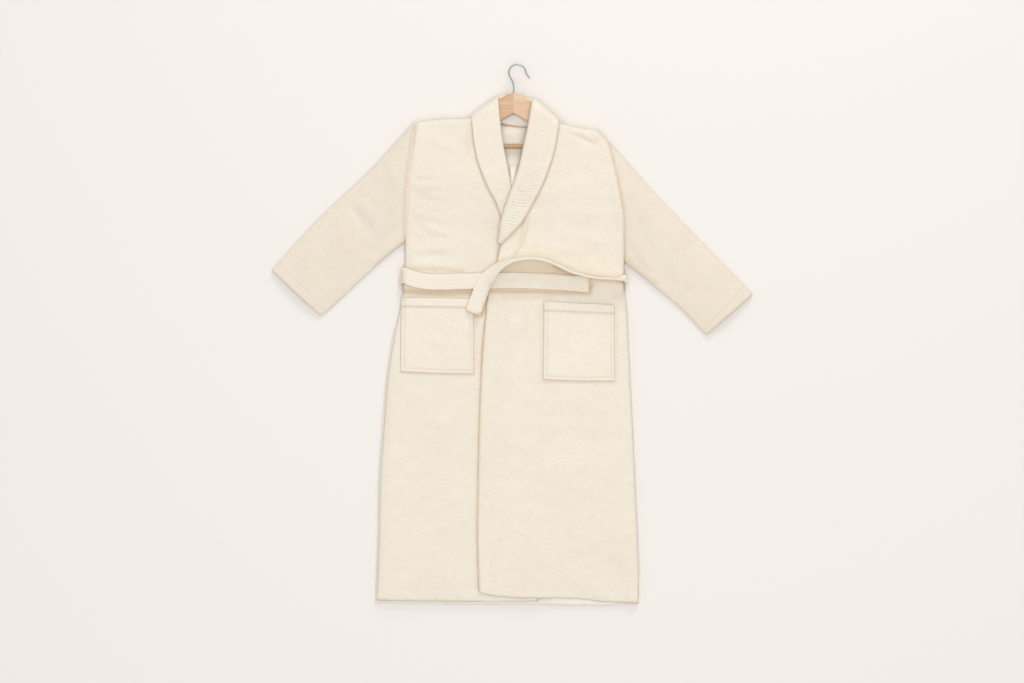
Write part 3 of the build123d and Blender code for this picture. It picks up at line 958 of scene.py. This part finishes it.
def belt_loop(name, side_x, way, node):
    """A loop that stands off the side seam at side_x, round the belt."""
    mesh = bmesh.new()
    bmesh.ops.create_grid(mesh, x_segments=6, y_segments=24, size=0.5)
    out = smooth((0, -3.5), (0.12, 0.5), (0.3, 3.4), (0.5, 3.8), (0.7, 3.4), (0.88, 0.5), (1, -3.5))
    for vert in mesh.verts:
        u, w = vert.co.x + 0.5, vert.co.y + 0.5
        vert.co = (side_x + way * out(w), loop_bottom + loop_span * w, loop_lowest + loop_width * u)
    bmesh.ops.recalc_face_normals(mesh, faces=mesh.faces)
    piece = cloth(name, mesh, belt_terry, "root", thick=1.5)
    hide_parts(node)


belt_loop("right_belt_loop_cloth", -264.5, -1, "right_belt_loop")
belt_loop("left_belt_loop_cloth", 273.0, 1, "left_belt_loop")

# The hanger's two arms are planed from pale wood and its bar is turned from a darker
# one, all lacquered. They keep their own shape, and each arm's grain runs along it.


def wood_material(name, light, dark, turn):
    """Lacquered wood, its grain turned from the X axis by an angle."""
    paint = bpy.data.materials.new(name)
    paint.use_nodes = True
    nodes, links = paint.node_tree.nodes, paint.node_tree.links
    shader = nodes["Principled BSDF"]
    shader.inputs["Roughness"].default_value = 0.42
    shader.inputs["Coat Weight"].default_value = 0.15
    place = nodes.new("ShaderNodeTexCoord")
    grain_line = nodes.new("ShaderNodeMapping")
    grain_line.inputs["Rotation"].default_value = (0, 0, turn)
    grain_line.inputs["Scale"].default_value = (9, 130, 130)
    links.new(place.outputs["Object"], grain_line.inputs["Vector"])
    grain = nodes.new("ShaderNodeTexNoise")
    grain.inputs["Scale"].default_value = 1.0
    grain.inputs["Detail"].default_value = 6
    grain.inputs["Distortion"].default_value = 0.6
    links.new(grain_line.outputs["Vector"], grain.inputs["Vector"])
    ramp = nodes.new("ShaderNodeValToRGB")
    ramp.color_ramp.elements[0].position = 0.3
    ramp.color_ramp.elements[0].color = (*dark, 1)
    ramp.color_ramp.elements[1].position = 0.68
    ramp.color_ramp.elements[1].color = (*light, 1)
    links.new(grain.outputs["Fac"], ramp.inputs["Fac"])
    links.new(ramp.outputs["Color"], shader.inputs["Base Color"])
    bump = nodes.new("ShaderNodeBump")
    bump.inputs["Strength"].default_value = 0.15
    bump.inputs["Distance"].default_value = 0.0004
    links.new(grain.outputs["Fac"], bump.inputs["Height"])
    links.new(bump.outputs["Normal"], shader.inputs["Normal"])
    return paint


def finish_node(node, paint):
    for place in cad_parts[node].material_slots:
        place.material = paint


arm_slope = math.radians(27)
right_arm_wood = wood_material("right_arm_wood", (0.68, 0.445, 0.275), (0.545, 0.33, 0.187), -arm_slope)
left_arm_wood = wood_material("left_arm_wood", (0.76, 0.548, 0.347), (0.63, 0.412, 0.234), arm_slope)
finish_node("hanger_right_arm", right_arm_wood)
finish_node("hanger_left_arm", left_arm_wood)
bar_wood = wood_material("bar_wood", (0.56, 0.36, 0.20), (0.43, 0.255, 0.13), 0)
finish_node("trouser_bar", bar_wood)
finish_node("centre_dowels", bar_wood)

# The hook is one plated steel wire, bent to shape, with a head that turns in the wood.
# The two pins that hold the bar are the same steel, drawn bright and a little worn.
steel = bpy.data.materials.new("hook_steel")
steel.use_nodes = True
steel_nodes, steel_links = steel.node_tree.nodes, steel.node_tree.links
steel_shader = steel_nodes["Principled BSDF"]
steel_shader.inputs["Metallic"].default_value = 1.0
steel_shader.inputs["Base Color"].default_value = (0.36, 0.37, 0.39, 1)
steel_place = steel_nodes.new("ShaderNodeTexCoord")
steel_wear = steel_nodes.new("ShaderNodeTexNoise")
steel_wear.inputs["Scale"].default_value = 220
steel_links.new(steel_place.outputs["Object"], steel_wear.inputs["Vector"])
steel_range = steel_nodes.new("ShaderNodeMapRange")
steel_range.inputs["To Min"].default_value = 0.22
steel_range.inputs["To Max"].default_value = 0.42
steel_links.new(steel_wear.outputs["Fac"], steel_range.inputs["Value"])
steel_links.new(steel_range.outputs["Result"], steel_shader.inputs["Roughness"])
for node in ("hook", "hook_head", "bar_pins"):
    finish_node(node, steel)
